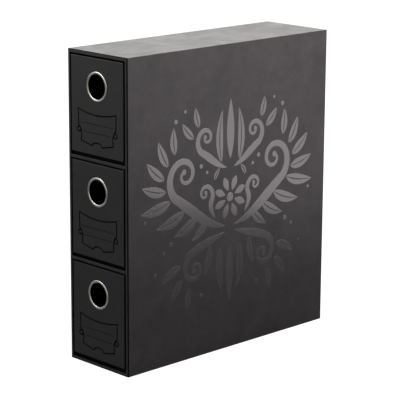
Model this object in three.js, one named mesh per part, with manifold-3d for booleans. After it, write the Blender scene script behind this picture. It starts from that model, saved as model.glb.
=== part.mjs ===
// A trading card drawer box: a tall, slim casing of paper-covered board with three pull-out drawers,
// each with a metal finger ring and a pressed-in label outline on its front.
// Millimetres, +Z up. The drawer fronts face -Y, and X runs to the right as seen from the front.
// The origin is the middle of the footprint, on the surface that the box stands on.

import * as THREE from "three";
import { mergeVertices } from "three/addons/utils/BufferGeometryUtils.js";
import Module from "manifold-3d";

const wasm = await Module();
wasm.setup();

// Drawers from the top down, and the compartment that each one slides in
const drawerNames = ["top", "middle", "bottom"];
const compartmentWidth = 76;
const compartmentHeight = 96.2;

// Casing: board with covering paper on both faces, folded over the front edge. Its two ends, the top
// and the base, are of thicker board than its sides, back and shelves.
const casingDepth = 267.5;
const casingBoard = 2.5;
const endBoard = 3;
const coverPaper = 0.2;
const glueLine = 0.05;

// Tray of each drawer
const trayBoard = 2;
const traySideClearance = 1.8;
const trayFloorClearance = 0.3;
const trayRearClearance = 1.5;
const trayTopClearance = 6;

// Drawer front, a covered board glued to the tray
const frontThickness = 2.5;
const frontSideGap = 1.6;
const frontTopGap = 1.3;
const frontBottomGap = 3.5;
const frontStandOut = 0.4;
const frontCornerRadius = 1.2;
const frontEdgeRadius = 0.8;
const roundingSteps = 3;

// Finger ring: a domed flange in front, a barrel through both boards, and a lip rolled over a washer
const ringDrop = 26.6;
const ringBoreRadius = 11.9;
const ringBarrelWall = 0.6;
const ringFlangeRadius = 14.1;
const ringFlangeHeight = 0.5;
const ringFlangeRim = 0.1;
const ringFitClearance = 0.15;
const ringLipWidth = 1;
const ringLipThickness = 0.5;
const washerWidth = 2.4;
const washerThickness = 0.8;
const ringSides = 40;
const flangeSteps = 8;

// Label outline and its two writing rules, pressed into the drawer front below the finger ring
const labelGapBelowRing = 8.9;
const labelBottomMargin = 8.8;
const labelSideMargin = 9.9;
const labelLineWidth = 0.9;
const labelLineDepth = 0.35;
const ruleLineWidth = 0.5;
const ruleLineDepth = 0.2;
const labelLoopRadius = 2.3;
const labelCurveSteps = 8;
const cutOverrun = 1;

// Shares of the label's half width across, and of its height downwards from its top corners
const labelTopSagShare = 0.117;
const labelSideEndShares = [0.985, 0.46];
const labelShoulderBendShares = [0.86, 0.53];
const labelShoulderEndShares = [0.825, 0.67];
const labelFootShares = [0.84, 0.905];
const labelNotchStartShares = [0.275, 1];
const labelNotchEdgeShares = [0.235, 0.98];
const labelNotchTopShare = 0.895;
const labelLoopShares = [0.962, 0.588];
const ruleShares = [[0.84, 0.386], [0.71, 0.635]];

// Sizes that follow from the ones above
const coverLayer = coverPaper + glueLine;
const wallThickness = casingBoard + 2 * coverLayer;
const endThickness = endBoard + 2 * coverLayer;
const casingWidth = compartmentWidth + 2 * wallThickness;
const drawerPitch = compartmentHeight + wallThickness;
const casingHeight = drawerNames.length * drawerPitch - wallThickness + 2 * endThickness;
const ringStandOut = frontStandOut + glueLine + ringFlangeHeight;
const backY = (casingDepth + ringStandOut) / 2;
const frontY = backY - casingDepth;
const boardFrontY = frontY + coverLayer;
const boardBackY = backY - coverLayer;
const backBoardY = boardBackY - casingBoard;
const outerX = casingWidth / 2;
const boardX = outerX - coverLayer;
const innerBoardX = boardX - casingBoard;
const innerX = compartmentWidth / 2;

const frontWidth = compartmentWidth - 2 * frontSideGap;
const frontHeight = compartmentHeight - frontTopGap - frontBottomGap;
const frontFaceY = frontY - frontStandOut;
const trayWidth = compartmentWidth - 2 * traySideClearance;
const trayHeight = compartmentHeight - trayFloorClearance - trayTopClearance;
const trayFrontY = frontFaceY + frontThickness + glueLine;
const trayInnerFrontY = trayFrontY + trayBoard;
const trayBackY = backBoardY - trayRearClearance;
const trayWallX = trayWidth / 2 - trayBoard;
const ringBarrelRadius = ringBoreRadius + ringBarrelWall;
const ringHoleRadius = ringBarrelRadius + ringFitClearance;

const materials = {
  coverPaper: new THREE.MeshStandardMaterial({ color: 0x2e2c2d, roughness: 0.55, metalness: 0 }),
  casingBoard: new THREE.MeshStandardMaterial({ color: 0x1f1e1e, roughness: 0.85, metalness: 0 }),
  trayBoard: new THREE.MeshStandardMaterial({ color: 0x1b1b1b, roughness: 0.85, metalness: 0 }),
  frontPaper: new THREE.MeshStandardMaterial({ color: 0x2c2c2c, roughness: 0.6, metalness: 0 }),
  ringSteel: new THREE.MeshStandardMaterial({ color: 0xc9beb3, roughness: 0.3, metalness: 1 }),
};

// A closed geometry as a solid for joining and cutting
function toSolid(geometry) {
  const bare = geometry.clone();
  bare.deleteAttribute("normal");
  bare.deleteAttribute("uv");
  const merged = mergeVertices(bare);
  const vertProperties = new Float32Array(merged.attributes.position.array);
  const triVerts = new Uint32Array(merged.index.array);
  return new wasm.Manifold(new wasm.Mesh({ numProp: 3, vertProperties, triVerts }));
}

function toGeometry(solid) {
  const { vertProperties, triVerts } = solid.getMesh();
  const geometry = new THREE.BufferGeometry();
  geometry.setAttribute("position", new THREE.BufferAttribute(vertProperties, 3));
  geometry.setIndex(new THREE.BufferAttribute(triVerts, 1));
  geometry.computeVertexNormals();
  return geometry;
}

// A block between two corners, each given as [x, y, z]
function block(low, high) {
  const size = high.map((value, axis) => value - low[axis]);
  const middle = high.map((value, axis) => (value + low[axis]) / 2);
  return new THREE.BoxGeometry(...size).translate(...middle);
}

// A shape drawn in X and Z, upright, from y forwards by the given depth
function uprightPrism(shape, y, depth, curveSegments) {
  const geometry = new THREE.ExtrudeGeometry(shape, { depth, bevelEnabled: false, curveSegments });
  return geometry.rotateX(Math.PI / 2).translate(0, y, 0);
}

function namedMesh(name, geometry, material) {
  const mesh = new THREE.Mesh(geometry, material);
  mesh.name = name;
  return mesh;
}

// Side wall of the casing; side is -1 for the left and 1 for the right
function sideBoard(name, side) {
  const edges = [side * innerBoardX, side * boardX].sort((a, b) => a - b);
  const low = [edges[0], boardFrontY, coverLayer];
  const high = [edges[1], boardBackY, casingHeight - coverLayer];
  return namedMesh(name, block(low, high), materials.casingBoard);
}

// Level board between the side walls, with its underside at z
function levelBoard(name, z, thickness, halfWidth, endY) {
  const low = [-halfWidth, boardFrontY, z];
  const high = [halfWidth, endY, z + thickness];
  return namedMesh(name, block(low, high), materials.casingBoard);
}

function backBoard() {
  const x = innerBoardX - glueLine;
  const z = coverLayer + endBoard + glueLine;
  const low = [-x, backBoardY, z];
  const high = [x, boardBackY, casingHeight - z];
  return namedMesh("back_board", block(low, high), materials.casingBoard);
}

// Covering paper of a side wall: over the outside, round the front edge and along the inside
function sideCover(name, side) {
  const envelope = toSolid(block([innerX, frontY, 0], [outerX, boardBackY - glueLine, casingHeight]));
  const boardSpace = toSolid(block(
    [innerBoardX - glueLine, boardFrontY - glueLine, -cutOverrun],
    [boardX + glueLine, backY, casingHeight + cutOverrun],
  ));
  const levelSpaces = [-cutOverrun, casingHeight - endThickness].map((z) => toSolid(block(
    [innerX - cutOverrun, boardFrontY - glueLine, z],
    [innerBoardX, backY, z + endThickness + cutOverrun],
  )));
  const behindLining = toSolid(block(
    [innerX - cutOverrun, backBoardY - glueLine, 0],
    [innerBoardX, backY, casingHeight],
  ));
  const cuts = [boardSpace, behindLining, ...levelSpaces];
  const cover = cuts.reduce((solid, cut) => solid.subtract(cut), envelope);
  const facing = side > 0 ? cover : cover.mirror([1, 0, 0]);
  return namedMesh(name, toGeometry(facing), materials.coverPaper);
}

// Covering paper of the casing's top or base: the outer sheet also covers the side walls' ends
function levelCover(name, outerZ, inward) {
  const span = (from, to) => [from, to].sort((a, b) => a - b);
  const x = outerX - coverLayer;
  const foldX = innerX - glueLine;
  const outer = span(outerZ, outerZ + inward * coverPaper);
  const board = span(outerZ + inward * coverPaper, outerZ + inward * (endThickness - coverPaper));
  const wall = span(outerZ, outerZ + inward * endThickness);
  const sheet = toSolid(block([-x, boardFrontY, outer[0]], [x, boardBackY - glueLine, outer[1]]));
  const fold = toSolid(block([-foldX, frontY, wall[0]], [foldX, backBoardY - glueLine, wall[1]]));
  const boardSpace = toSolid(block(
    [-outerX, frontY + coverPaper, board[0]],
    [outerX, backY, board[1]],
  ));
  const cover = sheet.add(fold).subtract(boardSpace);
  return namedMesh(name, toGeometry(cover), materials.coverPaper);
}

function backCover() {
  const low = [-outerX, backY - coverPaper, 0];
  const high = [outerX, backY, casingHeight];
  return namedMesh("back_cover", block(low, high), materials.coverPaper);
}

// Covering paper of a shelf: one sheet over its top, front edge and underside
function shelfCover(name, z) {
  const x = innerX - glueLine;
  const endY = backBoardY - glueLine;
  const envelope = toSolid(block([-x, frontY, z], [x, endY, z + wallThickness]));
  const boardSpace = toSolid(block(
    [-outerX, frontY + coverPaper, z + coverPaper],
    [outerX, backY, z + wallThickness - coverPaper],
  ));
  return namedMesh(name, toGeometry(envelope.subtract(boardSpace)), materials.coverPaper);
}

// Floor height of a compartment, counted from the bottom one up
function compartmentFloor(level) {
  return endThickness + level * drawerPitch;
}

function shelf(name, z) {
  const halfWidth = innerX - glueLine;
  const board = levelBoard(`${name}_board`, z + coverLayer, casingBoard, halfWidth, backBoardY - glueLine);
  return [board, shelfCover(`${name}_cover`, z)];
}

function casing() {
  const levelX = innerBoardX - glueLine;
  const shelfNames = ["lower_shelf", "upper_shelf"];
  const shelves = drawerNames.slice(1).flatMap((_, level) =>
    shelf(shelfNames[level] ?? `shelf_${level}`, compartmentFloor(level + 1) - wallThickness));
  const group = new THREE.Group();
  group.add(
    sideBoard("left_board", -1),
    sideBoard("right_board", 1),
    levelBoard("base_board", coverLayer, endBoard, levelX, boardBackY),
    levelBoard("top_board", casingHeight - coverLayer - endBoard, endBoard, levelX, boardBackY),
    backBoard(),
    sideCover("left_cover", -1),
    sideCover("right_cover", 1),
    levelCover("base_cover", 0, 1),
    levelCover("top_cover", casingHeight, -1),
    backCover(),
    ...shelves,
  );
  return group;
}

// A rectangle with round corners, centred across, with its lower edge at z
function roundedRectangle(width, height, radius, z) {
  const x = width / 2;
  const shape = new THREE.Shape();
  shape.moveTo(-x + radius, z);
  shape.lineTo(x - radius, z);
  shape.absarc(x - radius, z + radius, radius, -Math.PI / 2, 0);
  shape.absarc(x - radius, z + height - radius, radius, 0, Math.PI / 2);
  shape.absarc(-x + radius, z + height - radius, radius, Math.PI / 2, Math.PI);
  shape.absarc(-x + radius, z + radius, radius, Math.PI, Math.PI * 1.5);
  return shape;
}

// A closed outline moved sideways by a distance, with mitred corners
function offsetOutline(points, distance) {
  return points.map((point, index) => {
    const before = points[(index + points.length - 1) % points.length];
    const after = points[(index + 1) % points.length];
    const inDirection = point.clone().sub(before).normalize();
    const outDirection = after.clone().sub(point).normalize();
    const inNormal = new THREE.Vector2(inDirection.y, -inDirection.x);
    const outNormal = new THREE.Vector2(outDirection.y, -outDirection.x);
    const mitre = inNormal.clone().add(outNormal).divideScalar(1 + inNormal.dot(outNormal));
    return mitre.multiplyScalar(distance).add(point);
  });
}

// A closed outline drawn as a line of the given width
function outlineStroke(points, width) {
  const shape = new THREE.Shape(offsetOutline(points, width / 2));
  shape.holes.push(new THREE.Path(offsetOutline(points, -width / 2)));
  return shape;
}

// The label's outline, with its top corners at height topZ
function labelOutline(halfWidth, height, topZ) {
  const at = ([across, down], side) => [side * across * halfWidth, topZ - down * height];
  const notchZ = topZ - labelNotchEdgeShares[1] * height;
  const notchWidth = labelNotchEdgeShares[0] * halfWidth;
  const notchRise = (labelNotchEdgeShares[1] - labelNotchTopShare) * height;
  const path = new THREE.Path();
  path.moveTo(halfWidth, topZ);
  path.quadraticCurveTo(0, topZ - 2 * labelTopSagShare * height, -halfWidth, topZ);
  path.lineTo(...at(labelSideEndShares, -1));
  path.quadraticCurveTo(...at(labelShoulderBendShares, -1), ...at(labelShoulderEndShares, -1));
  path.lineTo(...at(labelFootShares, -1));
  path.lineTo(...at(labelNotchStartShares, -1));
  path.lineTo(-notchWidth, notchZ);
  path.absellipse(0, notchZ, notchWidth, notchRise, Math.PI, 0, true);
  path.lineTo(...at(labelNotchStartShares, 1));
  path.lineTo(...at(labelFootShares, 1));
  path.lineTo(...at(labelShoulderEndShares, 1));
  path.quadraticCurveTo(...at(labelShoulderBendShares, 1), ...at(labelSideEndShares, 1));
  return path.getPoints(labelCurveSteps);
}

function circleOutline(x, z, radius) {
  const path = new THREE.Path();
  path.absarc(x, z, radius, 0, Math.PI * 2);
  return path.getPoints(labelCurveSteps).slice(0, -1);
}

// Everything that is pressed into a drawer front, as solids to cut out of it
function labelCuts(frontTopZ) {
  const halfWidth = frontWidth / 2 - labelSideMargin;
  const topDrop = ringDrop + ringFlangeRadius + labelGapBelowRing;
  const height = frontHeight - topDrop - labelBottomMargin;
  const topZ = frontTopZ - topDrop;
  const loopX = labelLoopShares[0] * halfWidth;
  const loopZ = topZ - labelLoopShares[1] * height;
  const strokes = [
    outlineStroke(labelOutline(halfWidth, height, topZ), labelLineWidth),
    outlineStroke(circleOutline(-loopX, loopZ, labelLoopRadius), labelLineWidth),
    outlineStroke(circleOutline(loopX, loopZ, labelLoopRadius), labelLineWidth),
  ];
  const lines = strokes.map((stroke) =>
    toSolid(uprightPrism(stroke, frontFaceY + labelLineDepth, labelLineDepth + cutOverrun)));
  const rules = ruleShares.map(([across, down]) => {
    const x = across * halfWidth;
    const z = topZ - down * height;
    return toSolid(block(
      [-x, frontFaceY - cutOverrun, z - ruleLineWidth / 2],
      [x, frontFaceY + ruleLineDepth, z + ruleLineWidth / 2],
    ));
  });
  return [...lines, ...rules];
}

// A round hole along Y through a board that starts at y
function ringHole(y, thickness, z) {
  const length = thickness + 2 * cutOverrun;
  const drill = new THREE.CylinderGeometry(ringHoleRadius, ringHoleRadius, length, ringSides);
  return toSolid(drill.translate(0, y + thickness / 2, z));
}

// Covered front board with rounded edges, the finger hole and the pressed label
function drawerFront(name, floorZ, ringZ) {
  const lowZ = floorZ + frontBottomGap;
  const outline = roundedRectangle(frontWidth, frontHeight, frontCornerRadius, lowZ);
  const rounded = new THREE.ExtrudeGeometry(outline, {
    depth: frontThickness - 2 * frontEdgeRadius,
    bevelThickness: frontEdgeRadius,
    bevelSize: frontEdgeRadius,
    bevelOffset: -frontEdgeRadius,
    bevelSegments: roundingSteps,
    curveSegments: roundingSteps,
  });
  rounded.rotateX(Math.PI / 2).translate(0, frontFaceY + frontThickness - frontEdgeRadius, 0);
  const cuts = [ringHole(frontFaceY, frontThickness, ringZ), ...labelCuts(lowZ + frontHeight)];
  const solid = cuts.reduce((front, cut) => front.subtract(cut), toSolid(rounded));
  return namedMesh(name, toGeometry(solid), materials.frontPaper);
}

// Flange, barrel and rolled lip as one turned profile about the Y axis
function fingerRing(name, ringZ) {
  const seatY = frontFaceY - glueLine;
  const lipFrontY = trayInnerFrontY + glueLine + washerThickness + glueLine;
  const lipBackY = lipFrontY + ringLipThickness;
  const domeRadius = (ringFlangeRadius - ringBoreRadius) / 2;
  const domeMiddle = ringBoreRadius + domeRadius;
  const domeHeight = ringFlangeHeight - ringFlangeRim;
  const dome = Array.from({ length: flangeSteps + 1 }, (_, step) => {
    const angle = Math.PI * (1 - step / flangeSteps);
    const radius = domeMiddle + domeRadius * Math.cos(angle);
    return new THREE.Vector2(radius, seatY - ringFlangeRim - domeHeight * Math.sin(angle));
  });
  const profile = [
    ...dome,
    new THREE.Vector2(ringFlangeRadius, seatY),
    new THREE.Vector2(ringBarrelRadius, seatY),
    new THREE.Vector2(ringBarrelRadius, lipFrontY),
    new THREE.Vector2(ringBarrelRadius + ringLipWidth, lipFrontY),
    new THREE.Vector2(ringBarrelRadius + ringLipWidth, lipBackY),
    new THREE.Vector2(ringBoreRadius, lipBackY),
    dome[0].clone(),
  ];
  const geometry = new THREE.LatheGeometry(profile, ringSides);
  return namedMesh(name, geometry.translate(0, 0, ringZ), materials.ringSteel);
}

function ringWasher(name, ringZ) {
  const shape = new THREE.Shape();
  shape.absarc(0, ringZ, ringHoleRadius + washerWidth, 0, Math.PI * 2);
  const hole = new THREE.Path();
  hole.absarc(0, ringZ, ringHoleRadius, 0, Math.PI * 2);
  shape.holes.push(hole);
  const backFaceY = trayInnerFrontY + glueLine + washerThickness;
  const geometry = uprightPrism(shape, backFaceY, washerThickness, ringSides / 2);
  return namedMesh(name, geometry, materials.ringSteel);
}

// Open tray: a base with four walls standing on it, the front wall holed for the finger ring
function tray(drawerName, floorZ, ringZ) {
  const x = trayWidth / 2;
  const lowZ = floorZ + trayFloorClearance;
  const wallZ = lowZ + trayBoard + glueLine;
  const topZ = lowZ + trayHeight;
  const endX = trayWallX - glueLine;
  const frontWall = toSolid(block([-endX, trayFrontY, wallZ], [endX, trayInnerFrontY, topZ]));
  const holedWall = frontWall.subtract(ringHole(trayFrontY, trayBoard, ringZ));
  const board = (part, geometry) => namedMesh(`${drawerName}_tray_${part}`, geometry, materials.trayBoard);
  return [
    board("base", block([-x, trayFrontY, lowZ], [x, trayBackY, lowZ + trayBoard])),
    board("left_side", block([-x, trayFrontY, wallZ], [-trayWallX, trayBackY, topZ])),
    board("right_side", block([trayWallX, trayFrontY, wallZ], [x, trayBackY, topZ])),
    board("front", toGeometry(holedWall)),
    board("back", block([-endX, trayBackY - trayBoard, wallZ], [endX, trayBackY, topZ])),
  ];
}

// One drawer; level counts from the bottom compartment up
function drawer(name, level) {
  const floorZ = compartmentFloor(level);
  const ringZ = floorZ + frontBottomGap + frontHeight - ringDrop;
  const group = new THREE.Group();
  group.add(
    ...tray(name, floorZ, ringZ),
    drawerFront(`${name}_drawer_front`, floorZ, ringZ),
    fingerRing(`${name}_finger_ring`, ringZ),
    ringWasher(`${name}_ring_washer`, ringZ),
  );
  return group;
}

const drawerBox = new THREE.Group();
drawerBox.add(casing());
drawerNames.forEach((name, index) => {
  drawerBox.add(drawer(name, drawerNames.length - 1 - index));
});

export default drawerBox;
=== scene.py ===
import math
import bmesh
import bpy
import numpy as np
from mathutils import Matrix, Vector
from mathutils.geometry import tessellate_polygon


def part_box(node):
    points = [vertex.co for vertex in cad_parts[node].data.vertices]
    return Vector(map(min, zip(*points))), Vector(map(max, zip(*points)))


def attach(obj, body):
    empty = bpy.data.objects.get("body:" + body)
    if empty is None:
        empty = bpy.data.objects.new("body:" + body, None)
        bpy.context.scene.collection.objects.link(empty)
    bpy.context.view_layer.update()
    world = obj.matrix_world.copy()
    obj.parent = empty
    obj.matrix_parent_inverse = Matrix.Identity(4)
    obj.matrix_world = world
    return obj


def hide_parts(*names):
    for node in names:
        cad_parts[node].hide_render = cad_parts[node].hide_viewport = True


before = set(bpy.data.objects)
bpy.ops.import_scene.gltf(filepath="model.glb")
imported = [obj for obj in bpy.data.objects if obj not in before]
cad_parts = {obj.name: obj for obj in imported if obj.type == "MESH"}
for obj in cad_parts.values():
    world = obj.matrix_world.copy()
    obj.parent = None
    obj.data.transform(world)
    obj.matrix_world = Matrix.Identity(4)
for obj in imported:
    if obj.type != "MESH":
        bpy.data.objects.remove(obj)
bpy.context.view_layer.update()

mm = 0.001
hair = 0.01 * mm  # how near two places lie when they count as one
tiny = 0.001 * mm  # how near two points lie when they are merged
glueLine = 0.05 * mm
drawerNames = ["top", "middle", "bottom"]
print("frame loaded:", len(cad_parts), "nodes")

# Small tools


# A node's lowest and highest corners, as arrays
def lowHigh(node):
    low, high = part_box(node)
    return np.array(low), np.array(high)


# Quads between neighbouring rows and columns of a grid of points, closed round where asked
def gridQuads(rows, columns, wrapRows=False, wrapColumns=False):
    index = np.arange(rows * columns).reshape(rows, columns)
    if wrapRows:
        index = np.vstack([index, index[:1]])
    if wrapColumns:
        index = np.hstack([index, index[:, :1]])
    corners = [index[:-1, :-1], index[:-1, 1:], index[1:, 1:], index[1:, :-1]]
    return np.stack(corners, axis=-1).reshape(-1, 4)


# Several (points, faces) surfaces as one list of points and one of faces
def joinSurfaces(surfaces):
    allPoints, allFaces, count = [], [], 0
    for points, faces in surfaces:
        flat = np.asarray(points, float).reshape(-1, 3)
        allFaces += [(np.asarray(face) + count).tolist() for face in faces]
        allPoints.append(flat)
        count += len(flat)
    return np.vstack(allPoints), allFaces


# The body that a piece rides on, and the nodes that it stands for, which are hidden
def finishPiece(piece, body, replaced):
    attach(piece, body)
    if replaced:
        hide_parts(*replaced)
    return piece


# A mesh piece: doubles merged, faces turned outwards, and only edges over the crisp angle left sharp
def makePiece(name, surfaces, body, material, replaced=(), crispAngle=32):
    points, faces = joinSurfaces(surfaces)
    mesh = bpy.data.meshes.new(name)
    mesh.from_pydata(points.tolist(), [], faces)
    work = bmesh.new()
    work.from_mesh(mesh)
    bmesh.ops.remove_doubles(work, verts=work.verts, dist=tiny)
    bmesh.ops.recalc_face_normals(work, faces=work.faces)
    work.to_mesh(mesh)
    work.free()
    mesh.polygons.foreach_set("use_smooth", np.ones(len(mesh.polygons), bool))
    mesh.set_sharp_from_angle(angle=math.radians(crispAngle))
    mesh.materials.append(material)
    piece = bpy.data.objects.new(name, mesh)
    bpy.context.scene.collection.objects.link(piece)
    return finishPiece(piece, body, replaced)


# The share of label lines and painted shade at each point of a piece, worked out by a rule from all points
# at once
def markLinesAndShade(piece, rule):
    spots = np.zeros(len(piece.data.vertices) * 3, np.float32)
    piece.data.vertices.foreach_get("co", spots)
    share = rule(spots.reshape(-1, 3).astype(float))
    lines_and_painted_shade = piece.data.attributes.new("lines_and_painted_shade", "FLOAT", "POINT")
    lines_and_painted_shade.data.foreach_set("value", share.astype(np.float32))
    return piece


# Rounded rectangles round the origin, one for each inset (the same on all sides, or across and up) and
# radius: each corner is an arc with a supporting point just before and after it, so that shading stays
# flat on the long sides
def roundedLoops(halfWidth, halfHeight, insets, radii, arcSteps=6, support=0.3 * mm):
    angles = np.concatenate([[0], np.linspace(0, np.pi / 2, arcSteps + 1), [np.pi / 2]])
    lead = np.zeros(len(angles))
    lead[0], lead[-1] = -1, 1
    turn = np.repeat(np.arange(4), len(angles))
    angle = np.tile(angles, 4) + turn * np.pi / 2
    lead = np.tile(lead, 4)[:, None]
    signs = np.array([[1, 1], [-1, 1], [-1, -1], [1, -1]])[turn]
    outward = np.stack([np.cos(angle), np.sin(angle)], 1)
    along = np.stack([-np.sin(angle), np.cos(angle)], 1)
    insets = np.asarray(insets, float).reshape(len(insets), 1, -1)
    radii = np.asarray(radii, float)[:, None, None]
    reach = np.array([halfWidth, halfHeight]) - insets - radii
    return signs * reach + radii * outward + support * lead * along


# Materials

# How two noises make a tone, the range of the tone that shows, and how much the label's lines and the places
# with painted shade reflect
toneSet = {
    "cloudShare": 0.65,
    "paperRange": (0.36, 0.64),
    "fibreShare": 0.6,
    "fibreRange": (0.38, 0.62),
    "plainSpecular": 0.5,
    # dull reflection for the label's lines and for painted shade
    "linesAndShadeSpecular": 0.04,
}
paperSet = {
    "darkColour": (0.0150, 0.0147, 0.0149),
    "paleColour": (0.0325, 0.0290, 0.0300),
    # painted shade colour, for the front fold's bend and the lining
    "linesAndShadeColour": (0.0025, 0.0025, 0.0025),
    "cloudScale": 26.0,
    "mottleScale": 95.0,
    "toothScale": 2600.0,
    "roughLow": 0.41,
    "roughHigh": 0.49,
    "toothHeight": 0.012 * mm,
    "cloudHeight": 0.038 * mm,
    "ior": 1.31,
}
frontPaperSet = {
    "darkColour": (0.0190, 0.0190, 0.0190),
    "paleColour": (0.0255, 0.0252, 0.0252),
    # colour of the label's lines, and of the painted shade on the panel's rim and round the ring
    "linesAndShadeColour": (0.0020, 0.0020, 0.0020),
    "cloudScale": 30.0,
    "mottleScale": 110.0,
    "toothScale": 2600.0,
    "roughLow": 0.42,
    "roughHigh": 0.52,
    "toothHeight": 0.012 * mm,
    "cloudHeight": 0.05 * mm,
    "ior": 1.28,
}
boardSet = {
    "darkColour": (0.010, 0.0098, 0.0097),
    "paleColour": (0.020, 0.0195, 0.019),
    # painted shade colour for the boards' front faces
    "linesAndShadeColour": (0.002, 0.002, 0.002),
    "fibreScale": 700.0,
    "speckScale": 84.0,
    "roughLow": 0.75,
    "roughHigh": 0.92,
    "fibreHeight": 0.03 * mm,
}
trayBoardSet = {
    "darkColour": (0.0125, 0.0124, 0.0124),
    "paleColour": (0.0185, 0.0183, 0.0182),
    # painted shade colour for the tray boards' front faces
    "linesAndShadeColour": (0.002, 0.002, 0.002),
    "fibreScale": 420.0,
    "speckScale": 50.4,
    "roughLow": 0.62,
    "roughHigh": 0.78,
    "fibreHeight": 0.012 * mm,
}
ringSet = {
    "colour": (0.66, 0.615, 0.565),
    "tarnish": (0.52, 0.475, 0.42),
    # painted shade colour inside the ring's bore
    "boreShadeColour": (0.012, 0.012, 0.012),
    "grainScale": 900.0,
    "cloudScale": 180.0,
    "tarnishShare": 0.7,
    "roughLow": 0.24,
    "roughHigh": 0.34,
    "grainHeight": 0.004 * mm,
}
filmSet = {
    "colour": (0.017, 0.0155, 0.016),
    "waveScale": 210.0,
    "waveHeight": 0.006 * mm,
    "roughLow": 0.20,
    "roughHigh": 0.25,
    "ior": 1.79,
}


# A material under construction: its nodes, with short ways to add and join them
class Finish:
    def __init__(self, name):
        self.material = bpy.data.materials.new(name)
        self.material.use_nodes = True
        self.nodes = self.material.node_tree.nodes
        self.links = self.material.node_tree.links
        self.shader = self.nodes["Principled BSDF"]
        self.place = self.nodes.new("ShaderNodeTexCoord").outputs["Object"]

    def join(self, source, target):
        self.links.new(source, target)

    def noise(self, scale, detail=3.0, roughness=0.55, distortion=0.0, stretch=None):
        place = self.place
        if stretch:
            mapping = self.nodes.new("ShaderNodeMapping")
            mapping.inputs["Scale"].default_value = stretch
            self.join(place, mapping.inputs["Vector"])
            place = mapping.outputs["Vector"]
        node = self.nodes.new("ShaderNodeTexNoise")
        node.inputs["Scale"].default_value = scale
        node.inputs["Detail"].default_value = detail
        node.inputs["Roughness"].default_value = roughness
        node.inputs["Distortion"].default_value = distortion
        self.join(place, node.inputs["Vector"])
        return node.outputs["Fac"]

    def ramp(self, source, low, high, fromLow=0.3, fromHigh=0.7):
        node = self.nodes.new("ShaderNodeMapRange")
        node.inputs["From Min"].default_value = fromLow
        node.inputs["From Max"].default_value = fromHigh
        node.inputs["To Min"].default_value = low
        node.inputs["To Max"].default_value = high
        self.join(source, node.inputs["Value"])
        return node.outputs["Result"]

    def calc(self, operation, first, second):
        node = self.nodes.new("ShaderNodeMath")
        node.operation = operation
        for socket, value in zip(node.inputs, (first, second)):
            if isinstance(value, (int, float)):
                socket.default_value = value
            else:
                self.join(value, socket)
        return node.outputs["Value"]

    # The first source by its share, and the second by the rest
    def weigh(self, first, second, share):
        rest = self.calc("MULTIPLY", second, 1 - share)
        return self.calc("ADD", self.calc("MULTIPLY", first, share), rest)

    def blendColour(self, factor, first, second):
        node = self.nodes.new("ShaderNodeMix")
        node.data_type = "RGBA"
        self.join(factor, node.inputs["Factor"])
        for socket, value in ((node.inputs["A"], first), (node.inputs["B"], second)):
            if isinstance(value, tuple):
                socket.default_value = (*value, 1)
            else:
                self.join(value, socket)
        return node.outputs["Result"]

    def bump(self, height, distance, under=None):
        node = self.nodes.new("ShaderNodeBump")
        node.inputs["Strength"].default_value = 1.0
        node.inputs["Distance"].default_value = distance
        self.join(height, node.inputs["Height"])
        if under is not None:
            self.join(under, node.inputs["Normal"])
        return node.outputs["Normal"]

    def attribute(self, name):
        node = self.nodes.new("ShaderNodeAttribute")
        node.attribute_name = name
        return node.outputs["Fac"]

    def put(self, socket, value):
        if isinstance(value, (int, float, tuple)):
            self.shader.inputs[socket].default_value = value
        else:
            self.join(value, self.shader.inputs[socket])

    # The colour and its reflection, both darker by the piece's share of label lines and painted shade
    def putLinesAndShade(self, colour, linesAndShadeColour):
        lines_and_painted_shade = self.attribute("lines_and_painted_shade")
        self.put("Base Color", self.blendColour(lines_and_painted_shade, colour, linesAndShadeColour))
        level = self.ramp(lines_and_painted_shade, toneSet["plainSpecular"], toneSet["linesAndShadeSpecular"], 0.0, 1.0)
        self.put("Specular IOR Level", level)


# Matte laminated covering paper: cloudy tone, small mottles and a fine tooth. The label's lines are darker
# and duller, and the folds and the lining carry painted shade, darker and duller too, by the piece's share
# of lines and shade.
def coverPaper(name, values):
    finish = Finish(name)
    clouds = finish.noise(values["cloudScale"], detail=5.0, roughness=0.6, distortion=0.4)
    mottles = finish.noise(values["mottleScale"], detail=4.0, roughness=0.65)
    tooth = finish.noise(values["toothScale"], detail=2.0)
    tone, shown = finish.weigh(clouds, mottles, toneSet["cloudShare"]), toneSet["paperRange"]
    factor = finish.ramp(tone, 0.0, 1.0, *shown)
    colour = finish.blendColour(factor, values["darkColour"], values["paleColour"])
    finish.putLinesAndShade(colour, values["linesAndShadeColour"])
    finish.put("Roughness", finish.ramp(tone, values["roughHigh"], values["roughLow"], *shown))
    finish.put("IOR", values["ior"])
    wide = finish.bump(clouds, values["cloudHeight"])
    finish.put("Normal", finish.bump(tooth, values["toothHeight"], wide))
    return finish.material


# Solid black board: short fibres in tone and height
def fibreBoard(name, values):
    finish = Finish(name)
    fibres = finish.noise(values["fibreScale"], detail=4.0, roughness=0.7, stretch=(1.0, 0.35, 1.0))
    specks = finish.noise(values["speckScale"], detail=3.0)
    tone, shown = finish.weigh(fibres, specks, toneSet["fibreShare"]), toneSet["fibreRange"]
    factor = finish.ramp(tone, 0.0, 1.0, *shown)
    colour = finish.blendColour(factor, values["darkColour"], values["paleColour"])
    finish.putLinesAndShade(colour, values["linesAndShadeColour"])
    finish.put("Roughness", finish.ramp(tone, values["roughLow"], values["roughHigh"], *shown))
    finish.put("Normal", finish.bump(fibres, values["fibreHeight"]))
    return finish.material


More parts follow.
